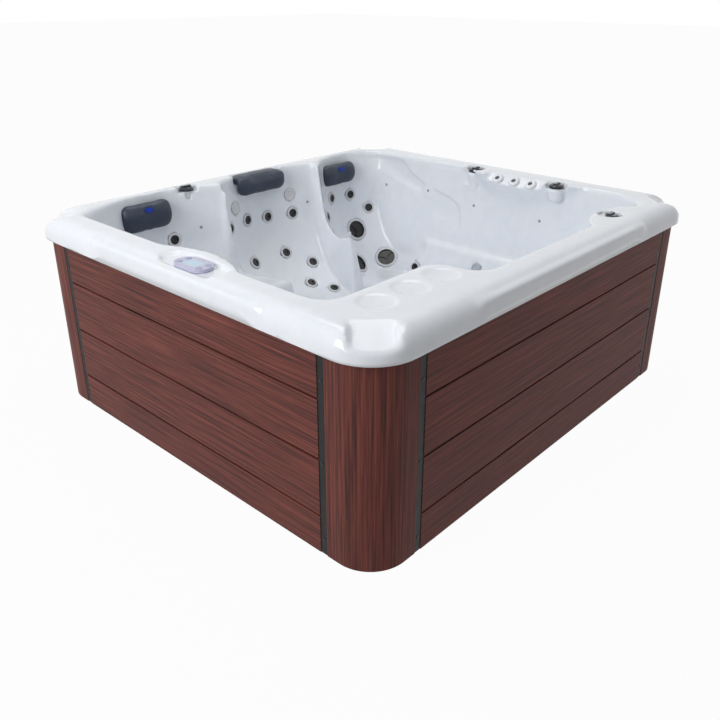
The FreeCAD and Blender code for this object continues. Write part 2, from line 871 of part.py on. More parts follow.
def shell_openings():
    """Holes through the shell for everything that is fitted in it."""
    tools = []
    for name, spots in (
        ("small", small_spots + neck_spots), ("large", large_spots), ("lens", lens_spots),
        ("suction", suction_spots()), ("injector", injector_spots),
    ):
        flanged = name in ("small", "large")
        flange = size(name + ("_flange_radius" if flanged else "_radius"))
        stem = name == "injector"
        radius = size(name + ("_stem_radius" if stem else "_body_radius"))
        depth = size(name + ("_stem_depth" if stem else "_body_depth"))
        tools += bores(spots, radius, depth, flange)
    gap = size("hole_gap")
    for name, spots in (("diverter", diverter_spots()), ("air", air_spots())):
        radius = size(name + "_body_radius") + gap
        depth = size(name + "_body_depth") + gap
        tools += [cylinder_at(radius, -depth, size("overrun"), spot) for spot in spots]
    spot = air_spots()[1]
    reach = size("air_pad_reach")
    length = size("air_pad_length")
    pad = Part.makeBox(2 * reach, length, reach, V(-reach, -length / 2, 0))
    pad.Placement = spot
    tools.append(pad)
    box_x = size("panel_box_width") + 2 * gap
    box_y = size("panel_box_length") + 2 * gap
    corner = panel_centre - V(box_x / 2, box_y / 2, size("panel_box_depth"))
    tools.append(Part.makeBox(box_x, box_y, 2 * size("panel_box_depth"), corner))
    for i in range(CUP_COUNT):
        x = size("cup_side_inset") - size("half_length") + i * size("cup_pitch")
        centre = V(x, size("cup_front_inset") - size("half_width"), top - size("cup_depth"))
        tools.append(cylinder_at(size("cup_radius"), 0, 2 * size("cup_depth"), facing(centre, UP)))
    return tools


def shell():
    """The moulded shell: one wall thickness all over, thicker at the swellings."""
    margin = size("large_flange_radius") + size("large_pad_margin")
    pads = [cylinder_at(margin, -wall, 0, spot) for spot in large_spots]
    walls = hollow(top - wall / 2, wall).common(lip_block(0.0, 0.0, top))
    outside = lip().multiFuse([walls] + pads)
    return outside.cut(Part.makeCompound(shell_openings())).cut(hollow(past_top, 0.0))


# Cabinet and frame

def cabinet_sides():
    """The four sides: name, true if it faces along Y, and the sign of its face."""
    return (
        ("front", True, -1), ("back", True, 1), ("left", False, -1), ("right", False, 1),
    )


def side_block(name, along_y, sign, half, thickness, depth, low, height):
    """A slab on one side, centred, its outer face at a depth behind the cabinet's face."""
    run = f"2 * ({half})"
    if along_y:
        face = f"cabinet_y - ({depth})"
        across = f"{face} - ({thickness})" if sign > 0 else f"-({face})"
        return block(name, (run, thickness, height), (f"-({half})", across, low))
    face = f"cabinet_x - ({depth})"
    across = f"{face} - ({thickness})" if sign > 0 else f"-({face})"
    return block(name, (thickness, run, height), (across, f"-({half})", low))


def boards(name, along_y, sign):
    """Four boards of one side, with an open groove between each two."""
    half = "board_x" if along_y else "board_y"
    grooves = [f"groove_height + {i} * board_pitch" for i in range(BOARD_COUNT - 1)]
    lows = ["skirt_base"] + [f"{groove} + board_groove / 2" for groove in grooves]
    highs = [f"{groove} - board_groove / 2" for groove in grooves] + ["skirt_top"]
    pieces = []
    for i, (low, high) in enumerate(zip(lows, highs)):
        pieces.append(side_block(
            f"{name}_board_{i + 1}", along_y, sign, half,
            "board_thickness", "0", low, f"{high} - ({low})",
        ))
    return group(f"boards_{name}", pieces)


def backings():
    """A dark sheet behind the boards of each side, which shows in the grooves."""
    pieces = []
    for name, along_y, sign in cabinet_sides():
        half = "cabinet_x - post_radius" if along_y else "cabinet_y - post_radius"
        pieces.append(side_block(
            name + "_backing", along_y, sign, half,
            "backing_thickness", "board_thickness", "skirt_base", "skirt_height",
        ))
    return group("panel_backings", pieces)


def corner_posts():
    """Four rounded corner posts, each with a short straight tail on both faces."""
    reach = size("post_reach")
    thick = size("board_thickness")
    base = size("skirt_base")
    edge = size("strip_recess")
    outer = outline(
        [(-reach, -reach), (0, -reach), (0, 0), (-reach, 0)],
        [edge, edge, size("post_radius"), edge], base,
    )
    block_solid = Part.Face(outer).extrude(V(0, 0, size("skirt_height")))
    inner = outline(
        [(-2 * reach, -2 * reach), (-thick, -2 * reach), (-thick, -thick), (-2 * reach, -thick)],
        [edge, edge, size("post_radius") - thick, edge], base - edge,
    )
    core = Part.Face(inner).extrude(V(0, 0, size("skirt_height") + 2 * edge))
    shape = block_solid.cut(core)
    x = size("cabinet_x")
    y = size("cabinet_y")
    for name, side_x, side_y, angle in (
        ("back_right", 1, 1, 0), ("back_left", -1, 1, 90),
        ("front_left", -1, -1, 180), ("front_right", 1, -1, 270),
    ):
        place = FreeCAD.Placement(V(side_x * x, side_y * y, 0), FreeCAD.Rotation(UP, angle))
        label = "corner_post_" + name
        node(feature(label, shape.copy(), place), label)


def strips_and_screws():
    """A dark upright strip on each side of every corner post, and its screws."""
    strips = []
    screws = []
    thickness = "board_thickness - strip_recess"
    for name, along_y, sign in cabinet_sides():
        inner = "board_x" if along_y else "board_y"
        face = size("cabinet_y" if along_y else "cabinet_x") - size("strip_recess")
        for end in (-1, 1):
            start = inner if end > 0 else f"-({inner}) - strip_width"
            strip = side_block(
                f"{name}_strip_{'low' if end < 0 else 'high'}", along_y, sign,
                "strip_width / 2", thickness, "strip_recess", "skirt_base", "skirt_height",
            )
            bind(strip, {"Placement.Base.x" if along_y else "Placement.Base.y": start})
            strips.append(strip)
            along = end * (size(inner) + size("strip_width") / 2)
            run = size("skirt_height") - size("screw_margin") - size("screw_top_margin")
            for share in SCREW_SHARES:
                z = size("skirt_base") + size("screw_margin") + share * run
                point = V(along, sign * face, z) if along_y else V(sign * face, along, z)
                outward = V(0, sign, 0) if along_y else V(sign, 0, 0)
                screws.append(facing(point, outward))
    group("corner_strips", strips)
    copies("strip_screws", turned("Screw", [
        ("0", "0"), ("screw_radius", "0"), ("screw_radius", "screw_height / 2"),
        ("screw_radius / 2", "screw_height"), ("0", "screw_height"),
    ]), screws)


def copies(label, master, places):
    """One node of separate solids: the same turned piece at several places."""
    doc.recompute()
    shapes = []
    for place in places:
        shape = master.Shape.copy()
        shape.Placement = place
        shapes.append(shape)
    return node(feature(label, Part.makeCompound(shapes)), label)


def base_pan():
    """The moulded pan that the tub stands on."""
    x = size("frame_x")
    y = size("frame_y")
    corners = rectangle(-x, x, -y, y)
    radii = [size("post_radius") - size("lining")] * len(corners)
    return node(feature("base_pan", prism(corners, radii, 0, size("pan_height"))), "base_pan")


def timber_frame():
    """Rails on the pan, posts on the rails, upper rails, and props under the rim."""
    pieces = []
    rail_low = "pan_height"
    post_low = "pan_height + timber_height"
    rail_high = "timber_top - timber_height"
    for name, along_y, sign in cabinet_sides():
        half = "cabinet_x - post_radius" if along_y else "cabinet_y - post_radius"
        limit = "frame_x" if along_y else "frame_y"
        for level, low in (("lower", rail_low), ("upper", rail_high)):
            pieces.append(side_block(
                f"{name}_{level}_rail", along_y, sign, half,
                "timber_depth", "lining", low, "timber_height",
            ))
        for level, low, high, shares in (
            ("post", post_low, rail_high, POST_X_SHARES if along_y else POST_Y_SHARES),
            ("prop", "timber_top", "rim_under", PROP_X_SHARES if along_y else PROP_Y_SHARES),
        ):
            for i, share in enumerate(shares, start=1):
                upright = side_block(
                    f"{name}_{level}_{i}", along_y, sign, "timber_width / 2",
                    "timber_depth", "lining", low, f"{high} - ({low})",
                )
                start = f"{share} * {limit} - timber_width / 2"
                bind(upright, {"Placement.Base.x" if along_y else "Placement.Base.y": start})
                pieces.append(upright)
    return group("timber_frame", pieces)


# Pillows

def arc(start, middle, end):
    """An arc edge through three points."""
    return Part.Arc(start, middle, end).toShape()


def line(start, end):
    """A straight edge."""
    return Part.LineSegment(start, end).toShape()


def wall_pillow(name):
    """A cushion with a flat back, a crowned face and drawn-in ends."""
    seat = pillow_seat(name)
    length = size(name + "_length")
    height = size(name + "_height")
    depth = size("pillow_depth")
    back = seat.y
    middle = seat.z + height / 2
    sections = []
    for station, fullness in zip(PILLOW_STATION_SHARES, PILLOW_FULLNESS_SHARES):
        x = seat.x + station * length
        half = height / 2 * fullness
        deep = depth * fullness
        low, high, over, brow, chin, under, nose = (
            V(x, back - deep * depth_share, middle + half * height_share)
            for depth_share, height_share in (
                (0, -PILLOW_BACK_SHARE), (0, PILLOW_BACK_SHARE), PILLOW_TOP_SHARES,
                PILLOW_BROW_SHARES, PILLOW_CHIN_SHARES, PILLOW_UNDER_SHARES, (1, 0),
            )
        )
        edges = [line(low, high), arc(high, over, brow), arc(brow, nose, chin), arc(chin, under, low)]
        sections.append(Part.Wire(edges))
    return Part.makeLoft(sections, True, False)


def wall_pillows():
    """The two wall pillows, each with an oval inlay let into its face."""
    badges = []
    for name, label in (("left_pillow", "pillow_left"), ("corner_pillow", "pillow_corner")):
        pillow = wall_pillow(name)
        seat = pillow_seat(name)
        centre = seat + V(0, 0, size(name + "_height") * BADGE_HEIGHT_SHARE)
        oval = Part.Ellipse(V(0, 0, 0), size("badge_length") / 2, size("badge_height") / 2)
        rod = Part.Face(Part.Wire([oval.toShape()])).extrude(V(0, 0, 2 * size("pillow_depth")))
        rod.Placement = facing(centre, V(0, -1, 0))
        behind = pillow.copy()
        behind.translate(V(0, size("badge_depth"), 0))
        badge = pillow.common(rod).cut(behind)
        badges.append(badge)
        node(feature(label, pillow.cut(badge)), label)
    node(feature("pillow_badges", Part.makeCompound(badges)), "pillow_badges")


def middle_pillow():
    """The neck pillow that lies over the rim's edge and hangs down in front of the wall."""
    length = size("middle_pillow_length")
    gap = size("pillow_gap")
    seat_back = size("seat_back")
    floor = top - size("middle_pillow_thickness") + gap
    back = seat_back + size("middle_pillow_reach") - gap
    wall_face = seat_back - size("middle_pillow_wall_gap")
    nose = seat_back - size("middle_pillow_front")
    crown = size("middle_pillow_crown")
    high = top - crown
    low = top - size("middle_pillow_drop")
    middle = size("middle_pillow_x_share") * size("overall_length")
    sections = []
    for station, fullness in zip(PILLOW_STATION_SHARES, PILLOW_FULLNESS_SHARES):
        x = middle + station * length
        crest = floor + (high - floor) * fullness
        tip = floor + (low - floor) * fullness
        front = wall_face + (nose - wall_face) * fullness
        rear = wall_face + (back - wall_face) * fullness
        depth = wall_face - front
        corners = [
            V(x, rear, floor), V(x, rear, crest - crown),
            V(x, front + depth * PILLOW_SHOULDER_SHARE, crest - crown),
            V(x, front + depth * PILLOW_TIP_SHARE, tip), V(x, wall_face, tip + crown),
            V(x, wall_face, floor),
        ]
        edges = [
            line(corners[0], corners[1]),
            arc(corners[1], V(x, (rear + front) / 2, crest), corners[2]),
            arc(corners[2], V(x, front, (crest + tip) / 2), corners[3]),
            line(corners[3], corners[4]),
            line(corners[4], corners[5]),
            line(corners[5], corners[0]),
        ]
        sections.append(Part.Wire(edges))
    node(feature("pillow_middle", Part.makeLoft(sections, True, False)), "pillow_middle")


# Control panel

def control_panel():
    """The oval bezel with its case below, the display window and four push buttons."""
    half_l = size("panel_length") / 2
    half_w = size("panel_width") / 2
    base = panel_centre.z
    crest = base + size("panel_height")
    corners = rectangle(
        panel_centre.x - half_w, panel_centre.x + half_w,
        panel_centre.y - half_l, panel_centre.y + half_l,
    )
    bezel = prism(corners, [size("panel_corner_radius")] * len(corners), base, crest)
    case = Part.makeBox(
        size("panel_box_width"), size("panel_box_length"), size("panel_box_depth"),
        V(panel_centre.x - size("panel_box_width") / 2, panel_centre.y - size("panel_box_length") / 2,
          base - size("panel_box_depth")),
    )
    display = Part.makeBox(
        size("display_width"), size("display_length"), size("display_thickness"),
        V(panel_centre.x - size("display_width") / 2, panel_centre.y - size("display_length") / 2,
          crest - size("display_thickness")),
    )
    button_low = crest + size("button_rise") - size("button_height")
    play = size("button_play")
    wells = []
    spots = []
    for across_share, along_share in BUTTON_SHARES:
        spot = facing(
            V(panel_centre.x + across_share * size("panel_width"),
              panel_centre.y + along_share * size("panel_length"), button_low), UP,
        )
        spots.append(spot)
        depth = size("button_stroke") + play
        wells.append(cylinder_at(size("button_radius") + play, -depth, size("button_height"), spot))
    bezel = bezel.fuse(case).cut(Part.makeCompound([display] + wells))
    node(feature("control_bezel", bezel), "control_bezel")
    node(feature("control_display", display), "control_display")
    master = turned("Button", [
        ("0", "0"), ("button_radius", "0"), ("button_radius", "button_height - button_edge"),
        ("button_radius - button_edge", "button_height"), ("0", "button_height"),
    ])
    doc.recompute()
    for i, spot in enumerate(spots, start=1):
        node(feature(f"button_{i}", master.Shape.copy(), spot), f"button_{i}")


# Valves and jets

def valve_body(name):
    """A fixed valve: collar, body and the bore for the handle's stem."""
    bore = f"{name}_stem_radius + running_gap"
    floor = f"-{name}_stem_depth - running_gap"
    return turned(name.capitalize() + "Valve", [
        ("0", f"-{name}_body_depth"), (f"{name}_body_radius", f"-{name}_body_depth"),
        (f"{name}_body_radius", "0"), (f"{name}_collar_radius", "0"),
        (f"{name}_collar_radius", f"{name}_collar_height"), (bore, f"{name}_collar_height"),
        (bore, floor), ("0", floor),
    ])


def diverters():
    """Four diverter valves, each with a round handle that has a grip bar on top."""
    copies("diverter_bodies", valve_body("diverter"), diverter_spots())
    low = "diverter_collar_height + running_gap"
    high = f"{low} + diverter_height"
    knob = turned("DiverterKnob", [
        ("0", "-diverter_stem_depth"), ("diverter_stem_radius", "-diverter_stem_depth"),
        ("diverter_stem_radius", low), ("diverter_radius", low),
        ("diverter_radius", f"{low} + diverter_height / 2"),
        (f"diverter_radius * {CREST_SHARE}", high), ("0", high),
    ])
    reach = f"diverter_radius * {GRIP_SHARE}"
    grip = block(
        "DiverterGrip", (f"2 * {reach}", "diverter_grip_width", "diverter_grip_height * 2"),
        (f"-{reach}", "-diverter_grip_width / 2", f"{high} - diverter_grip_height"),
    )
    handle = doc.addObject("Part::Fuse", "DiverterHandle")
    handle.Base = knob
    handle.Tool = grip
    doc.recompute()
    for i, spot in enumerate(diverter_spots(), start=1):
        label = f"diverter_handle_{i}"
        node(feature(label, handle.Shape.copy(), spot), label)


def air_controls():
    """Three air controls: a white cap with a dished middle on each fixed valve."""
    copies("air_bodies", valve_body("air"), air_spots())
    low = "air_collar_height + running_gap"
    high = f"{low} + air_height"
    cap = turned("AirCap", [
        ("0", "-air_stem_depth"), ("air_stem_radius", "-air_stem_depth"), ("air_stem_radius", low),
        ("air_radius", low), ("air_radius", f"{low} + air_height / 2"),
        (f"air_radius * {CREST_SHARE}", high), ("air_dish_radius", high),
        (f"air_dish_radius * {CREST_SHARE}", f"{high} - air_dish_depth"),
        ("0", f"{high} - air_dish_depth"),
    ])
    notch = block(
        "AirNotch", ("air_radius", "air_dish_depth", "air_dish_depth"),
        ("air_dish_radius", "-air_dish_depth / 2", f"{high} - air_dish_depth / 2"),
    )
    knob = doc.addObject("Part::Cut", "AirKnob")
    knob.Base = cap
    knob.Tool = notch
    doc.recompute()
    for i, spot in enumerate(air_spots(), start=1):
        node(feature(f"air_knob_{i}", knob.Shape.copy(), spot), f"air_knob_{i}")


def jet_body(name):
    """A fixed jet: flange ring, body, a seat for the turning face and a bore for its stem."""
    seat = f"{name}_face_radius + running_gap"
    bore = f"{name}_stem_radius + running_gap"
    floor = f"-{name}_face_seat - {name}_stem_depth - running_gap"
    return turned(name.capitalize() + "Jet", [
        ("0", f"-{name}_body_depth"), (f"{name}_body_radius", f"-{name}_body_depth"),
        (f"{name}_body_radius", "0"), (f"{name}_flange_radius", "0"),
        (f"{name}_flange_radius", f"{name}_flange_height / 2"),
        (f"({name}_flange_radius + {name}_body_radius) / 2", f"{name}_flange_height"),
        (seat, f"{name}_flange_height"), (seat, f"-{name}_face_seat"),
        (bore, f"-{name}_face_seat"), (bore, floor), ("0", floor),
    ])


def jet_plug(name, high):
    """The turning face of a jet, with its stem."""
    low = f"running_gap - {name}_face_seat"
    foot = f"-{name}_face_seat - {name}_stem_depth"
    return turned(name.capitalize() + "Plug", [
        ("0", foot), (f"{name}_stem_radius", foot), (f"{name}_stem_radius", low),
        (f"{name}_face_radius", low), (f"{name}_face_radius", high), ("0", high),
    ])


def small_jets():
    """Small jets, each with a face that turns about an off-centre nozzle, and the fixed neck jets."""
    master = jet_body("small")
    plug = jet_plug("small", "small_flange_height - small_face_inset")
    nozzle = doc.addObject("Part::Cylinder", "SmallNozzle")
    bind(nozzle, {
        "Radius": "small_nozzle_radius", "Height": "small_face_seat * 2",
        "Placement.Base.x": "small_nozzle_offset", "Placement.Base.z": "-small_face_seat / 2",
    })
    face = doc.addObject("Part::Cut", "SmallFace")
    face.Base = plug
    face.Tool = nozzle
    neck = turned("NeckJet", [
        ("0", "-small_body_depth"), ("small_body_radius", "-small_body_depth"),
        ("small_body_radius", "0"), ("small_flange_radius", "0"),
        ("small_flange_radius", "small_flange_height / 2"),
        ("small_body_radius", "small_flange_height"), ("small_face_radius", "small_flange_height"),
        (f"small_face_radius * {CREST_SHARE}", "small_flange_height / 2"),
        ("0", "small_flange_height / 2"),
    ])
    doc.recompute()
    shapes = []
    for body, spots in ((master, small_spots), (neck, neck_spots)):
        for spot in spots:
            shape = body.Shape.copy()
            shape.Placement = spot
            shapes.append(shape)
    node(feature("small_jet_bodies", Part.makeCompound(shapes)), "small_jet_bodies")
    for i, spot in enumerate(small_spots, start=1):
        label = f"small_jet_face_{i:02d}"
        node(feature(label, face.Shape.copy(), spot), label)


def large_jets():
    """Large jets, each with a turning face: a dished plate with a raised ring, hub and three ribs."""
    copies("large_jet_bodies", jet_body("large"), large_spots)
    high = "large_flange_height - large_face_inset"
    plug = jet_plug("large", f"{high} - large_rib_depth")
    doc.recompute()
    crest = size("large_flange_height") - size("large_face_inset")
    low = crest - size("large_rib_depth")
    radius = size("large_face_radius")
    width = size("large_rib_width")
    parts = [
        cylinder_at(radius, low, crest, FreeCAD.Placement()).cut(
            cylinder_at(radius - width / 2, low, crest, FreeCAD.Placement())
        ),
        cylinder_at(size("large_hub_radius"), low, crest, FreeCAD.Placement()),
    ]
    for i in range(RIB_COUNT):
        rib = Part.makeBox(radius - width / 4, width, crest - low, V(0, -width / 2, low))
        rib.Placement = FreeCAD.Placement(V(0, 0, 0), FreeCAD.Rotation(UP, i * 360 / RIB_COUNT))
        parts.append(rib)
    face = plug.Shape.multiFuse(parts).removeSplitter()
    for i, spot in enumerate(large_spots, start=1):
        label = f"large_jet_face_{i}"
        node(feature(label, face.copy(), spot), label)


def wall_fittings():
    """Air injectors, the light's lens and the suction covers."""
    copies("air_injectors", turned("Injector", [
        ("0", "-injector_stem_depth"), ("injector_stem_radius", "-injector_stem_depth"),
        ("injector_stem_radius", "0"), ("injector_radius", "0"),
        ("injector_radius / 2", "injector_height"), ("0", "injector_height"),
    ]), injector_spots)
    copies("light_lens", turned("Lens", [
        ("0", "-lens_body_depth"), ("lens_body_radius", "-lens_body_depth"),
        ("lens_body_radius", "0"), ("lens_radius", "0"), ("lens_radius", "lens_height / 2"),
        ("lens_body_radius", "lens_height"), ("0", "lens_height"),
    ]), lens_spots)
    copies("suction_covers", turned("Suction", [
        ("0", "-suction_body_depth"), ("suction_body_radius", "-suction_body_depth"),
        ("suction_body_radius", "0"), ("suction_radius", "0"),
        ("suction_radius", "suction_height / 2"), ("suction_body_radius", "suction_height"),
        ("0", "suction_height"),
    ]), suction_spots())


# Equipment inside the cabinet

def lying(radius, length, start, direction):
    """A cylinder from a point along a level direction."""
    return Part.makeCylinder(radius, length, start, direction)


def equipment():
    """Two pumps on the pan, their pipes, the filter, and the heater pack on the frame."""
    floor = size("pan_height")
    along = V(0, 1, 0)
    front = size("pump_front") - size("half_width")
    axis_z = floor + size("pump_axis")
    pumps = []
    pipes = []
    nose = front + size("pump_length") + size("wet_end_length")
    for i in range(PUMP_COUNT):
        x = size("pump_inset") + i * size("pump_pitch") - size("half_length")
        start = V(x, front, axis_z)
        motor = lying(size("pump_radius"), size("pump_length"), start, along)
        wet_end = lying(
            size("wet_end_radius"), size("wet_end_length"), start + along * size("pump_length"), along
        )
        foot = Part.makeBox(
            size("pump_foot_width"), size("pump_length"), size("pump_axis"),
            V(x - size("pump_foot_width") / 2, front, floor),
        )
        pumps.append(motor.multiFuse([wet_end, foot]))
        pipe_start = V(x, nose, axis_z)
        pipe = lying(size("pipe_radius"), size("pipe_length"), pipe_start, along)
        pipes.append(pipe.cut(lying(size("pipe_bore_radius"), size("pipe_length"), pipe_start, along)))
    across = V(1, 0, 0)
    end_y = nose + size("pipe_length") + size("pipe_radius")
    cross_start = V(size("pump_inset") - size("half_length") - size("pipe_radius"), end_y, axis_z)
    cross = lying(size("pipe_radius"), size("cross_pipe_length"), cross_start, across)
    bore = lying(size("pipe_bore_radius"), size("cross_pipe_length"), cross_start, across)
    pipes.append(cross.cut(bore))
    node(feature("jet_pumps", Part.makeCompound(pumps)), "jet_pumps")
    node(feature("plumbing", Part.makeCompound(pipes)), "plumbing")
    filter_x = size("pump_inset") + size("pump_pitch") + size("filter_pitch") - size("half_length")
    filter_base = V(filter_x, size("filter_inset") - size("half_width"), floor)
    tank = Part.makeCylinder(size("filter_radius"), size("filter_height"), filter_base)
    lid = Part.makeCylinder(
        size("filter_lid_radius"), size("filter_lid_height"), filter_base + UP * size("filter_height")
    )
    node(feature("filter_canister", tank.fuse(lid)), "filter_canister")
    pack_x = size("timber_depth") - size("frame_x")
    pack_front = front + size("timber_depth")
    pack = Part.makeBox(
        size("pack_depth"), size("pack_length"), size("pack_height"),
        V(pack_x, pack_front, size("pack_base")),
    )
    heater_z = size("pack_base") - size("heater_radius") + size("heater_sink")
    heater = lying(
        size("heater_radius"), size("pack_length"),
        V(pack_x + size("pack_depth") / 2, pack_front, heater_z), along,
    )
    node(feature("control_pack", pack.fuse(heater)), "control_pack")


# Assembly

node(feature("acrylic_shell", shell()), "acrylic_shell")
base_pan()
timber_frame()
for side in cabinet_sides():
    boards(*side)
backings()
corner_posts()
strips_and_screws()
wall_pillows()
middle_pillow()
control_panel()
diverters()
air_controls()
small_jets()
large_jets()
wall_fittings()
equipment()
doc.recompute()

failed = [o.Name for o in doc.Objects if "Invalid" in o.State or "Error" in o.State]
failed += [o.Label for o in nodes if o.Shape.isNull() or not o.Shape.isValid()]
if failed:
    raise RuntimeError("failed objects: " + ", ".join(failed))
os.makedirs("parts", exist_ok=True)
for thing in nodes:
    thing.Shape.exportStep(os.path.join("parts", thing.Label + ".step"))
print(len(nodes), "nodes")
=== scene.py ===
"""Dresses the hot tub: its moulded shell, pillows, fittings and finishes, then the studio and the camera."""
import json
import math

import bmesh
import bpy
from mathutils import Matrix, Vector
from mathutils.bvhtree import BVHTree


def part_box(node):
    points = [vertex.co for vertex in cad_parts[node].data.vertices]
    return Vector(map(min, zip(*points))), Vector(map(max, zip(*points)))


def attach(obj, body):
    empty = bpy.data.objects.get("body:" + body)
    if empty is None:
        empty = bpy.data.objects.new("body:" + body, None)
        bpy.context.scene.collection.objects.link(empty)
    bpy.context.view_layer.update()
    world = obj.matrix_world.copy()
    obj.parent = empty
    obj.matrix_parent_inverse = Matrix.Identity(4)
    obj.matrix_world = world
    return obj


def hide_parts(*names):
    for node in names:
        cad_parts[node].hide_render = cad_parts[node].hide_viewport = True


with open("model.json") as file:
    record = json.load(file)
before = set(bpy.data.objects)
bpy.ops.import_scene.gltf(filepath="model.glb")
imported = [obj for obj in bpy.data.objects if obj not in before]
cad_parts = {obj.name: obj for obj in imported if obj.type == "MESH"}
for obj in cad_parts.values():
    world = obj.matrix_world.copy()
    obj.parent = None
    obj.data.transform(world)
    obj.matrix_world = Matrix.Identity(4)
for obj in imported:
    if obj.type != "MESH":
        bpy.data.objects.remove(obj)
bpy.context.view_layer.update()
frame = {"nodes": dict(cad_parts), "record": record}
nodes = frame["nodes"]
slots = {row["node"]: row["material_slot"] for row in frame["record"]["subparts"]}


# Small tools


def linear(text):
    """An sRGB hex value as a linear colour."""
    shares = [int(text[i:i + 2], 16) / 255 for i in (1, 3, 5)]
    return tuple(s / 12.92 if s <= 0.04045 else ((s + 0.055) / 1.055) ** 2.4 for s in shares) + (1.0,)


def add(tree, kind, inputs=(), **settings):
    """A new node with its settings, each input set to a value or linked to a socket."""
    node = tree.nodes.new(kind)
    for name, value in settings.items():
        setattr(node, name, value)
    for key, value in dict(inputs).items():
        if isinstance(value, bpy.types.NodeSocket):
            tree.links.new(value, node.inputs[key])
        else:
            node.inputs[key].default_value = value
    return node


def surface(name, **sockets):
    """A new material, with its shader's plain values set on the sockets themselves."""
    material = bpy.data.materials.new(name)
    material.use_nodes = True
    shader = material.node_tree.nodes["Principled BSDF"]
    for key, value in sockets.items():
        shader.inputs[key.replace("_", " ")].default_value = value
    return material, material.node_tree, shader


def merged(node):
    """A CAD node's triangles, joined into one mesh."""
    shape = bmesh.new()
    shape.from_mesh(nodes[node].data)
    bmesh.ops.remove_doubles(shape, verts=shape.verts, dist=0.00002)
    return shape


def piece(name, shape, finish):
    """A new object from a bmesh, smooth all over, with its finish."""
    for face in shape.faces:
        face.smooth = True
    mesh = bpy.data.meshes.new(name)
    shape.to_mesh(mesh)
    shape.free()
    mesh.materials.append(finish)
    thing = bpy.data.objects.new(name, mesh)
    bpy.context.scene.collection.objects.link(thing)
    return thing


def settle(thing):
    """Makes what the modifiers show the piece's own mesh."""
    graph = bpy.context.evaluated_depsgraph_get()
    mesh = bpy.data.meshes.new_from_object(thing.evaluated_get(graph))
    old = thing.data
    thing.modifiers.clear()
    thing.data = mesh
    bpy.data.meshes.remove(old)


def remesh(thing, step):
    """Turns a closed piece into an even net of small faces."""
    thing.modifiers.new("net", "REMESH").mode = "VOXEL"
    thing.modifiers["net"].voxel_size = step
    thing.modifiers["net"].use_smooth_shade = True
    settle(thing)


def ease(value):
    """Runs softly from 0 to 1 as the value does."""
    share = min(max(value, 0.0), 1.0)
    return share * share * (3 - 2 * share)


def turned(profile, place, axis):
    """A round shape: a profile of radii and heights in millimetres, spun about an axis at its place."""
    shape = bmesh.new()
    corners = [shape.verts.new((radius / 1000, 0, height / 1000)) for radius, height in profile]
    sides = [shape.edges.new(pair) for pair in zip(corners, corners[1:])]
    bmesh.ops.spin(
        shape, geom=corners + sides, cent=(0, 0, 0), axis=(0, 0, 1), angle=2 * math.pi,
        steps=40, use_merge=True,
    )
    bmesh.ops.remove_doubles(shape, verts=shape.verts, dist=0.00001)
    bmesh.ops.recalc_face_normals(shape, faces=shape.faces)
    turn = Vector(axis).to_track_quat("Z", "Y").to_matrix().to_4x4()
    bmesh.ops.transform(shape, matrix=Matrix.Translation(place) @ turn, verts=shape.verts)
    return shape


# Finishes


def moulded(name, tone, shade, rough, patch_mm=40, grain_mm=1.2, grain=0.02, **sockets):
    """Moulded plastic: faint cloudy patches from the melt, and a fine grain from the tool."""
    material, tree, shader = surface(name, **sockets)
    place = add(tree, "ShaderNodeTexCoord").outputs["Object"]
    cloud = add(tree, "ShaderNodeTexNoise", {"Vector": place, "Scale": 1000 / patch_mm, "Detail": 3.0})
    mix = add(
        tree, "ShaderNodeMix",
        {0: cloud.outputs[0], 6: linear(tone), 7: linear(shade)}, data_type="RGBA",
    )
    tree.links.new(mix.outputs[2], shader.inputs["Base Color"])
    gloss = add(tree, "ShaderNodeMapRange", {0: cloud.outputs[0], 3: rough * 0.8, 4: rough * 1.2})
    tree.links.new(gloss.outputs[0], shader.inputs["Roughness"])
    pits = add(tree, "ShaderNodeTexNoise", {"Vector": place, "Scale": 1000 / grain_mm, "Detail": 2.0})
    bump = add(tree, "ShaderNodeBump", {"Height": pits.outputs[0], "Strength": grain, "Distance": 0.001})
    tree.links.new(bump.outputs[0], shader.inputs["Normal"])
    return material


def cast_acrylic():
    """Vacuum-formed cast acrylic: a deep gloss over white with a faint pearl drift in it."""
    material, tree, shader = surface("cast_acrylic", IOR=1.49, Coat_Weight=0.25, Coat_Roughness=0.05)
    place = add(tree, "ShaderNodeTexCoord").outputs["Object"]
    drift = add(tree, "ShaderNodeTexNoise", {"Vector": place, "Scale": 9.0, "Detail": 6.0, "Distortion": 1.2})
    mix = add(
        tree, "ShaderNodeMix",
        {0: drift.outputs[0], 6: linear("#eff2f7"), 7: linear("#dfe4eb")}, data_type="RGBA",
    )
    tree.links.new(mix.outputs[2], shader.inputs["Base Color"])
    gloss = add(tree, "ShaderNodeMapRange", {0: drift.outputs[0], 3: 0.12, 4: 0.2})
    tree.links.new(gloss.outputs[0], shader.inputs["Roughness"])
    ripple = add(tree, "ShaderNodeTexNoise", {"Vector": place, "Scale": 14.0, "Detail": 1.0})
    bump = add(tree, "ShaderNodeBump", {"Height": ripple.outputs[0], "Strength": 0.06, "Distance": 0.004})
    tree.links.new(bump.outputs[0], shader.inputs["Normal"])
    return material


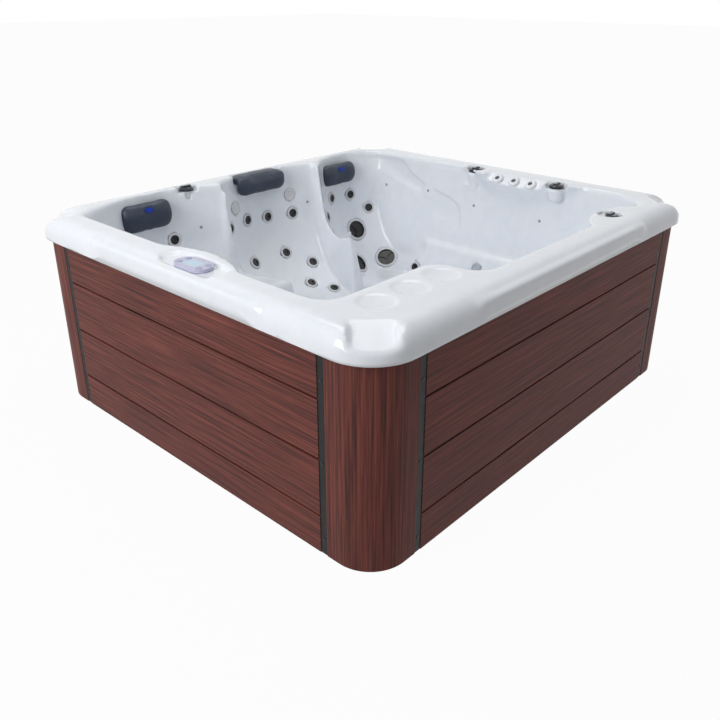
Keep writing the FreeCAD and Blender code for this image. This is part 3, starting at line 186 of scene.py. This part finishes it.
def wood_composite(name, turn):
    """Extruded wood and plastic: embossed mahogany streaks a few millimetres wide along the board."""
    material, tree, shader = surface(name, IOR=1.45, Specular_IOR_Level=0.28)
    place = add(tree, "ShaderNodeTexCoord").outputs["Object"]
    along = add(tree, "ShaderNodeMapping", {"Vector": place, "Rotation": turn})
    broad = add(
        tree, "ShaderNodeMapping", {"Vector": along.outputs[0], "Scale": (2.2, 120.0, 120.0)},
    )
    fine = add(
        tree, "ShaderNodeMapping", {"Vector": along.outputs[0], "Scale": (6.0, 420.0, 420.0)},
    )
    streak = add(tree, "ShaderNodeTexNoise", {"Vector": broad.outputs[0], "Scale": 1.0, "Detail": 5.0,
                                              "Roughness": 0.62})
    pore = add(tree, "ShaderNodeTexNoise", {"Vector": fine.outputs[0], "Scale": 1.0, "Detail": 3.0})
    tone = add(tree, "ShaderNodeValToRGB", {0: streak.outputs[0]})
    ramp = tone.color_ramp
    ramp.elements[0].position = 0.3
    ramp.elements[0].color = linear("#2c1917")
    ramp.elements[1].position = 0.72
    ramp.elements[1].color = linear("#87493f")
    middle = ramp.elements.new(0.5)
    middle.color = linear("#62322c")
    depth = add(tree, "ShaderNodeMapRange", {0: pore.outputs[0], 1: 0.35, 2: 0.6, 3: 0.72, 4: 1.08})
    mix = add(
        tree, "ShaderNodeMix", {0: 1.0, 6: tone.outputs[0], 7: depth.outputs[0]},
        data_type="RGBA", blend_type="MULTIPLY",
    )
    tree.links.new(mix.outputs[2], shader.inputs["Base Color"])
    gloss = add(tree, "ShaderNodeMapRange", {0: pore.outputs[0], 3: 0.68, 4: 0.52})
    tree.links.new(gloss.outputs[0], shader.inputs["Roughness"])
    bump = add(tree, "ShaderNodeBump", {"Height": pore.outputs[0], "Strength": 0.25, "Distance": 0.0006})
    tree.links.new(bump.outputs[0], shader.inputs["Normal"])
    return material


def brushed(name, tone, rough):
    """Turned or brushed metal: fine streaks that spread its shine."""
    material, tree, shader = surface(name, Base_Color=linear(tone), Metallic=1.0)
    place = add(tree, "ShaderNodeTexCoord").outputs["Object"]
    fine = add(tree, "ShaderNodeMapping", {"Vector": place, "Scale": (900.0, 900.0, 60.0)})
    streak = add(tree, "ShaderNodeTexNoise", {"Vector": fine.outputs[0], "Scale": 1.0, "Detail": 2.0})
    gloss = add(tree, "ShaderNodeMapRange", {0: streak.outputs[0], 3: rough * 0.7, 4: rough * 1.3})
    tree.links.new(gloss.outputs[0], shader.inputs["Roughness"])
    return material


def sawn_softwood():
    """Sawn spruce: pale with darker year lines, dull."""
    material, tree, shader = surface("sawn_spruce", IOR=1.5)
    place = add(tree, "ShaderNodeTexCoord").outputs["Object"]
    rings = add(tree, "ShaderNodeTexWave", {"Vector": place, "Scale": 18.0, "Distortion": 6.0, "Detail": 3.0})
    mix = add(
        tree, "ShaderNodeMix",
        {0: rings.outputs[1], 6: linear("#d3b88f"), 7: linear("#b08e60")}, data_type="RGBA",
    )
    tree.links.new(mix.outputs[2], shader.inputs["Base Color"])
    gloss = add(tree, "ShaderNodeMapRange", {0: rings.outputs[1], 3: 0.6, 4: 0.75})
    tree.links.new(gloss.outputs[0], shader.inputs["Roughness"])
    bump = add(tree, "ShaderNodeBump", {"Height": rings.outputs[1], "Strength": 0.2, "Distance": 0.001})
    tree.links.new(bump.outputs[0], shader.inputs["Normal"])
    return material


ACRYLIC = cast_acrylic()
BOARD_X = wood_composite("wood_composite_along_x", (0.0, 0.0, 0.0))
BOARD_Y = wood_composite("wood_composite_along_y", (0.0, 0.0, math.pi / 2))
BOARD_Z = wood_composite("wood_composite_upright", (0.0, math.pi / 2, 0.0))
SKIN = moulded("foam_skin", "#2a3648", "#1f2a3a", 0.42, 60, 1.6, 0.12, IOR=1.5)
FINISHES = {
    "trim": moulded("black_pvc_trim", "#101113", "#0a0b0c", 0.5, Specular_IOR_Level=0.3),
    "backing": moulded("black_sheet", "#1a1a1b", "#121213", 0.7),
    "screw": brushed("blackened_steel", "#3a3b3e", 0.4),
    "pan": moulded("thermoformed_abs_pan", "#2a2b2d", "#202123", 0.55),
    "timber": sawn_softwood(),
    "pillow": SKIN,
    "badge": moulded("blue_abs_inlay", "#0a35a8", "#082a8c", 0.35, Specular_IOR_Level=0.3),
    "bezel": moulded("silver_film_on_abs", "#c4c3d8", "#b4b4cd", 0.28),
    "display": moulded("lcd_window", "#b4d2e6", "#a3c5de", 0.1, Coat_Weight=0.6),
    "button": moulded("membrane_key", "#a9afcb", "#989fbf", 0.4),
    "diverter": moulded("navy_gloss_abs", "#121a2c", "#0c1322", 0.18, Coat_Weight=0.4),
    "valve": moulded("white_abs_valve", "#e4e6e9", "#d6d9de", 0.3),
    "air_cap": moulded("white_gloss_abs", "#eceef0", "#dfe2e6", 0.22),
    "jet_ring": moulded("pale_grey_abs_ring", "#d9dadc", "#c8cacd", 0.24),
    "jet_face": moulded("black_abs_nozzle", "#141416", "#0c0c0e", 0.28),
    "injector": moulded("grey_abs_injector", "#9a9ea4", "#8a8e95", 0.3),
    "lens": moulded("clear_polycarbonate", "#dfe5ea", "#cfd8df", 0.08, Transmission_Weight=0.6, IOR=1.58),
    "suction": moulded("white_abs_grille", "#dee0e3", "#cdd0d5", 0.32),
    "pump": moulded("painted_motor_steel", "#22252a", "#191c20", 0.4),
    "pack": moulded("grey_abs_case", "#4a4d50", "#3e4144", 0.5),
    "pipe": moulded("white_pvc_pipe", "#e2e2df", "#d3d3d0", 0.35),
    "filter": moulded("black_abs_canister", "#26292b", "#1c1e20", 0.45),
}

for name, node in nodes.items():
    slot = slots[name]
    finish = FINISHES.get(slot)
    if slot == "cladding":
        finish = BOARD_X if name in ("boards_front", "boards_back") else BOARD_Y
    if slot == "cladding_post":
        finish = BOARD_Z
    if finish is None:
        continue
    if node.material_slots:
        for place in node.material_slots:
            place.material = finish
    else:
        node.data.materials.append(finish)


# Shell


# Sizes in metres: the net of the shell and its wall, then how far the fittings hold the skin in place.
LIP_BOTTOM = 0.758
SKIRT_FOOT = -0.05
NET_STEP = 0.009
SHELL_WALL = 0.008
SHELL_FACES = 92000
RIM = (0.93, 0.83)
RIM_BAND = 0.06
FITTING_REACH = 0.06
HOLD_REACH = 0.045
SEAM_START = 0.014
SEAM_BAND = 0.03
LOOK_OUT = 0.025
SINK = 0.015
BED_MARGIN = 0.004
# How often each pass evens out the net.
EVEN_TURNS = 3
SOFT_TURNS = 18
ROUND_TURNS = 40
SEAM_TURNS = 10
PILLOWS = ("pillow_left", "pillow_corner", "pillow_middle")
FITTINGS = (
    "small_jet_bodies", "large_jet_bodies", "air_injectors", "light_lens", "suction_covers",
    "diverter_bodies", "air_bodies", "control_bezel",
)
RAISED = (
    "small_jet_bodies", "large_jet_bodies", "light_lens", "suction_covers", "control_bezel",
) + tuple(name for name in nodes if "_face_" in name or "_handle_" in name)
PILLOW_BEDS = [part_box(name) for name in ("pillow_left", "pillow_corner")]
CUPS = (Vector((-0.841, -0.771)), Vector((-0.677, -0.771)), Vector((-0.513, -0.771)))
CUP_RADIUS = 0.062
CUP_DEPTH = 0.005
CUP_EDGE = 0.011
DECK_TOP = 0.85
DECK_BAND = 0.02
# The ends of the beads on the lip, the tongues at the corners and the arms between the seats, each with
# the reach over which the mould is rounder than the solid, and how much.
BEAD_ENDS = [Vector((x, y, 0.84)) for x in (-0.61, 0.61) for y in (-0.98, 0.98)]
BEAD_ENDS += [Vector((x, y, 0.84)) for x in (-1.08, 1.08) for y in (-0.51, 0.51)]
TONGUES = [Vector((x, y, 0.82)) for x in (-1.0, 1.0) for y in (-0.9, 0.9)]
ARMS = [Vector((x, y, z)) for x in (-0.22, 0.42) for y, z in ((0.5, 0.5), (0.6, 0.68))]
ROUND_SPOTS = [(spot, 0.09, 0.7) for spot in BEAD_ENDS]
ROUND_SPOTS += [(spot, 0.2, 0.12) for spot in TONGUES]
ROUND_SPOTS += [(spot, 0.16, 1.0) for spot in ARMS]
# The line of the soft step in the right wall, from the rim down to its foot.
STEP_LINE = (
    (0.817, 0.623), (0.758, 0.563), (0.715, 0.469), (0.687, 0.382),
    (0.662, 0.271), (0.636, 0.215), (0.599, 0.192), (0.556, 0.182),
)
STEP_DEPTH = 0.011
STEP_WALL = (0.72, 0.98)
STEP_HEIGHTS = (0.45, 0.83)
STEP_FADE_FOOT = 0.46


def tree_of(names):
    """The faces of several CAD nodes, ready to be searched."""
    shape = bmesh.new()
    for name in names:
        shape.from_mesh(nodes[name].data)
    tree = BVHTree.FromBMesh(shape)
    shape.free()
    return tree


def beyond_lip(point):
    """Whether a point is out at the lip's own face, on a side or round a corner."""
    return abs(point.x) > 1.03 or abs(point.y) > 0.93 or abs(point.x) + abs(point.y) > 1.82


def keep_main(shape):
    """Leaves only the faces that join the largest one that looks up."""
    start = max(shape.faces, key=lambda face: face.calc_area() * face.normal.z)
    kept = {start}
    reached = [start]
    while reached:
        face = reached.pop()
        for edge in face.edges:
            for other in edge.link_faces:
                if other not in kept:
                    kept.add(other)
                    reached.append(other)
    bmesh.ops.delete(shape, geom=[face for face in shape.faces if face not in kept], context="FACES")


def pinch_points(shape):
    """Points where two holes touch."""
    return [vert for vert in shape.verts if sum(edge.is_boundary for edge in vert.link_edges) > 2]


def in_pillow_bed(face):
    """Whether a face lies wholly in the bed of a pillow on the wall."""
    for low, high in PILLOW_BEDS:
        spans = [(low[i] - BED_MARGIN, high[i] + BED_MARGIN) for i in range(3)]
        if all(a < v.co[i] < b for v in face.verts for i, (a, b) in enumerate(spans)):
            return True
    return False


def step_in_wall(point):
    """How far the right wall stands back at a point: behind the step's line, and fading out below it."""
    foot, top = STEP_HEIGHTS
    if not STEP_WALL[0] < point.x < STEP_WALL[1] or not foot < point.z < top:
        return 0.0
    edge = STEP_LINE[-1][1]
    for (high, start), (low, end) in zip(STEP_LINE, STEP_LINE[1:]):
        if low <= point.z <= high:
            edge = end + (start - end) * (point.z - low) / (high - low)
    behind = ease((point.y - edge) / 0.03 + 0.5) * ease((edge + 0.3 - point.y) / 0.2)
    return STEP_DEPTH * behind * ease((point.z - STEP_FADE_FOOT) / 0.1) * ease((top - point.z) / 0.03)


def upper_skin():
    """The shell's upper face alone, with the holes for the fittings still open."""
    shape = merged("acrylic_shell")
    tree = BVHTree.FromBMesh(shape)
    plugs = tree_of(FITTINGS)
    doomed = []
    for face in shape.faces:
        middle = face.calc_center_median()
        narrow = tree.ray_cast(middle + face.normal * 0.0001, face.normal, 0.1)[0] is not None
        plugged = face.calc_area() < 0.0008 and plugs.ray_cast(middle, face.normal, 0.004)[0] is not None
        under = face.normal.z < -0.6 and middle.z < LIP_BOTTOM + 0.012 and beyond_lip(middle)
        if narrow or plugged or under or in_pillow_bed(face):
            doomed.append(face)
    bmesh.ops.delete(shape, geom=doomed, context="FACES")
    keep_main(shape)
    pinched = pinch_points(shape)
    while pinched:
        bmesh.ops.delete(shape, geom=pinched, context="VERTS")
        keep_main(shape)
        pinched = pinch_points(shape)
    return shape


def rim_edges(shape):
    """The open edges along the foot of the lip."""
    return [
        edge for edge in shape.edges
        if edge.is_boundary and all(v.co.z < LIP_BOTTOM + 0.02 and beyond_lip(v.co) for v in edge.verts)
    ]


def relax(thing, turns, shares):
    """Evens out a net several times, each point as far as its share."""
    group = thing.vertex_groups.new(name="share")
    for index, share in enumerate(shares):
        group.add([index], share, "REPLACE")
    smooth = thing.modifiers.new("relax", "SMOOTH")
    smooth.factor = 0.5
    smooth.iterations = turns
    smooth.vertex_group = group.name
    settle(thing)
    thing.vertex_groups.clear()


def moulded_shell():
    """The shell as one soft sheet: the CAD skin netted evenly, its edges eased, and given its thickness."""
    skin = upper_skin()
    lip = set(rim_edges(skin))
    holes = [edge for edge in skin.edges if edge.is_boundary and edge not in lip]
    bmesh.ops.holes_fill(skin, edges=holes, sides=0)
    left = [edge for edge in skin.edges if edge.is_boundary and edge not in lip]
    bmesh.ops.triangle_fill(skin, edges=left, use_beauty=True)
    true_skin = BVHTree.FromBMesh(skin)
    foot = bmesh.ops.extrude_edge_only(skin, edges=rim_edges(skin))["geom"]
    for vert in [item for item in foot if isinstance(item, bmesh.types.BMVert)]:
        vert.co.z = SKIRT_FOOT
    bmesh.ops.holes_fill(skin, edges=[edge for edge in skin.edges if edge.is_boundary], sides=0)
    bmesh.ops.triangulate(skin, faces=skin.faces)
    bmesh.ops.recalc_face_normals(skin, faces=skin.faces)
    shell = piece("moulded_shell", skin, ACRYLIC)
    remesh(shell, NET_STEP)
    fittings = tree_of(FITTINGS + PILLOWS)
    firm = []
    soft = []
    rounder = []
    seam = []
    for vert in shell.data.vertices:
        gap = fittings.find_nearest(vert.co, FITTING_REACH)[3]
        gap = FITTING_REACH if gap is None else gap
        hold = ease(1.3 - gap / HOLD_REACH)
        on_lip = ease(max(abs(vert.co.x) - RIM[0], abs(vert.co.y) - RIM[1]) / RIM_BAND)
        near = max(share * ease(1.5 - (vert.co - spot).length / reach) for spot, reach, share in ROUND_SPOTS)
        firm.append(hold)
        soft.append((1 - hold) * (1 - 0.85 * on_lip))
        rounder.append((1 - hold) * near)
        seam.append(ease((gap - SEAM_START) / SEAM_BAND) * (1 - on_lip))
    relax(shell, EVEN_TURNS, [1.0] * len(firm))
    relax(shell, SOFT_TURNS, soft)
    relax(shell, ROUND_TURNS, rounder)
    for vert, hold in zip(shell.data.vertices, firm):
        if hold > 0:
            vert.co = vert.co.lerp(true_skin.find_nearest(vert.co)[0], hold)
    relax(shell, SEAM_TURNS, seam)
    plugs = tree_of(RAISED)
    sheet = bmesh.new()
    sheet.from_mesh(shell.data)
    for vert, hold in zip(sheet.verts, firm):
        vert.co.x += (1 - hold) * step_in_wall(vert.co)
        if vert.co.z > DECK_TOP - DECK_BAND:
            inside = max((CUP_RADIUS - (vert.co.xy - cup).length) / CUP_EDGE + 0.5 for cup in CUPS)
            if inside > -1.5:
                vert.co.z = DECK_TOP - CUP_DEPTH * ease(inside)
        if hold > 0:
            hit = plugs.ray_cast(vert.co + vert.normal * LOOK_OUT, -vert.normal, 2 * LOOK_OUT)[0]
            if hit is not None:
                vert.co = hit - vert.normal * SINK
    bmesh.ops.bisect_plane(
        sheet, geom=sheet.verts[:] + sheet.edges[:] + sheet.faces[:],
        plane_co=(0, 0, LIP_BOTTOM), plane_no=(0, 0, 1), dist=0.0005,
    )
    doomed = []
    for face in sheet.faces:
        middle = face.calc_center_median()
        if middle.z < 0.04 or (middle.z < LIP_BOTTOM and beyond_lip(middle)):
            doomed.append(face)
    bmesh.ops.delete(sheet, geom=doomed, context="FACES")
    sheet.to_mesh(shell.data)
    faces = sum(len(face.verts) - 2 for face in sheet.faces)
    sheet.free()
    thin = shell.modifiers.new("thin", "DECIMATE")
    thin.ratio = min(1.0, SHELL_FACES / faces)
    wall = shell.modifiers.new("wall", "SOLIDIFY")
    wall.thickness = SHELL_WALL
    wall.offset = -1
    settle(shell)
    for face in shell.data.polygons:
        face.use_smooth = True
    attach(shell, "tub")
    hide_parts("acrylic_shell")


moulded_shell()


# Pillows


PILLOW_SHRINK = (0.97, 0.94, 0.96)
PILLOW_NET = 0.005
SWELL_PRESSURE = 4
SWELL_MOMENTS = 20
SWELL_LIMIT = 0.006


def foam_pillow(node, hollow):
    """A moulded foam pillow: the CAD solid a little smaller, swollen as cloth, with its hollow pressed in."""
    shape = merged(node)
    low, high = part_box(node)
    middle = (low + high) / 2
    bmesh.ops.scale(shape, verts=shape.verts, vec=PILLOW_SHRINK, space=Matrix.Translation(-middle))
    pillow = piece("foam_" + node, shape, SKIN)
    remesh(pillow, PILLOW_NET)
    start = [vert.co.copy() for vert in pillow.data.vertices]
    cloth = pillow.modifiers.new("swell", "CLOTH").settings
    cloth.use_pressure = True
    cloth.uniform_pressure_force = SWELL_PRESSURE
    cloth.effector_weights.gravity = 0
    for moment in range(1, SWELL_MOMENTS + 1):
        bpy.context.scene.frame_set(moment)
    settle(pillow)
    bpy.context.scene.frame_set(1)
    width = (high.x - low.x) / 2
    tall = (high.z - low.z) / 2
    for vert, before in zip(pillow.data.vertices, start):
        moved = vert.co - before
        if moved.length > SWELL_LIMIT:
            vert.co = before + moved * (SWELL_LIMIT / moved.length)
        across = (vert.co.x - middle.x) / width
        up = (vert.co.z - middle.z) / tall
        facing = ease((middle.y - vert.co.y) / (middle.y - low.y) + 0.4)
        vert.co.y += hollow * facing * ease(1 - abs(across) / 0.55) * ease(1.2 - abs(up - 0.25))
    smooth = pillow.modifiers.new("even", "SMOOTH")
    smooth.iterations = 4
    round_off = pillow.modifiers.new("round", "SUBSURF")
    round_off.levels = 1
    round_off.render_levels = 1
    settle(pillow)
    for face in pillow.data.polygons:
        face.use_smooth = True
    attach(pillow, "tub")
    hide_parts(node)


foam_pillow("pillow_left", 0.010)
foam_pillow("pillow_corner", 0.010)
foam_pillow("pillow_middle", 0.006)


# Fittings


# From the floor of the dish, over the edge and the hollow, to the hub: radii and heights in millimetres.
INSERT_PROFILE = (
    (0, 9.9), (12.4, 9.9), (12.4, 11.6), (11.6, 12.3), (7.0, 10.9), (5.2, 10.8), (4.8, 12.8), (0, 13.2),
)


def valve_insert(joint):
    """The dark insert in the dish of an air knob, with its hub."""
    shape = turned(INSERT_PROFILE, joint["pos_m"], joint["axis"])
    insert = piece("insert_" + joint["child"], shape, FINISHES["diverter"])
    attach(insert, joint["child"])


for joint in frame["record"]["behaviour"]["joints"]:
    if joint["child"].startswith("air_knob_"):
        valve_insert(joint)


# Studio


FLOOR_REACH = 40
FLOOR_GLOW = 0.965
WORLD_LIGHT = 0.36


def seen(tree):
    """1 where the eye sees a surface, straight or in gloss or glass, and 0 where it only gives light."""
    path = add(tree, "ShaderNodeLightPath")
    straight = add(
        tree, "ShaderNodeMath",
        {0: path.outputs["Is Camera Ray"], 1: path.outputs["Is Glossy Ray"]}, operation="MAXIMUM",
    )
    through = add(
        tree, "ShaderNodeMath",
        {0: straight.outputs[0], 1: path.outputs["Is Transmission Ray"]}, operation="MAXIMUM",
    )
    return through.outputs[0]


def pale_floor():
    """A plain pale floor, part white by itself for the eye so that it stays light but keeps the shadow."""
    shape = bmesh.new()
    bmesh.ops.create_grid(shape, x_segments=1, y_segments=1, size=FLOOR_REACH)
    material, tree, shader = surface("pale_floor", Base_Color=linear("#b8b8b8"), Roughness=0.9)
    share = add(tree, "ShaderNodeMath", {0: seen(tree), 1: FLOOR_GLOW}, operation="MULTIPLY")
    glow = add(tree, "ShaderNodeEmission", {"Color": (1, 1, 1, 1), "Strength": 1.0})
    both = add(
        tree, "ShaderNodeMixShader",
        {0: share.outputs[0], 1: shader.outputs[0], 2: glow.outputs[0]},
    )
    tree.links.new(both.outputs[0], tree.nodes["Material Output"].inputs[0])
    floor = piece("pale_floor", shape, material)


def soft_world():
    """White to the eye and in reflections, and a soft even light for the rest."""
    world = bpy.data.worlds.new("studio")
    bpy.context.scene.world = world
    world.use_nodes = True
    tree = world.node_tree
    level = add(tree, "ShaderNodeMapRange", {0: seen(tree), 3: WORLD_LIGHT, 4: 1.0})
    tree.links.new(level.outputs[0], tree.nodes["Background"].inputs["Strength"])
    tree.nodes["Background"].inputs["Color"].default_value = (1, 1, 1, 1)


def soft_box(name, place, aim, size, power):
    """A square area lamp that looks at a point."""
    lamp = bpy.data.lights.new(name, "AREA")
    lamp.shape = "SQUARE"
    lamp.size = size
    lamp.energy = power
    thing = bpy.data.objects.new(name, lamp)
    thing.location = place
    thing.rotation_euler = (Vector(aim) - Vector(place)).to_track_quat("-Z", "Y").to_euler()
    bpy.context.scene.collection.objects.link(thing)


def photo_camera():
    """The camera at the photograph's place, as fitted to the straight edges of the lip and the cabinet."""
    lens = bpy.data.cameras.new("photo_camera")
    lens.sensor_width = 36
    lens.lens = 38.28
    lens.shift_x = -0.0123
    lens.shift_y = -0.0488
    lens.clip_end = 200
    camera = bpy.data.objects.new("photo_camera", lens)
    right = Vector((0.67270, -0.73991, 0.00366)).normalized()
    ahead = Vector((0.67805, 0.61446, -0.40333)).normalized()
    up = right.cross(ahead)
    turn = Matrix((right, up, -ahead)).transposed().to_4x4()
    camera.matrix_world = Matrix.Translation((-2.4781, -2.2226, 1.7333)) @ turn
    bpy.context.scene.collection.objects.link(camera)
    bpy.context.scene.camera = camera


pale_floor()
soft_world()
soft_box("key", (-4.5, 0.3, 2.6), (0, 0, 0.5), 2.4, 115)
soft_box("over", (0.4, 0.6, 4.5), (0, 0, 0.4), 3.0, 55)
photo_camera()
bpy.context.scene.view_settings.view_transform = "Standard"
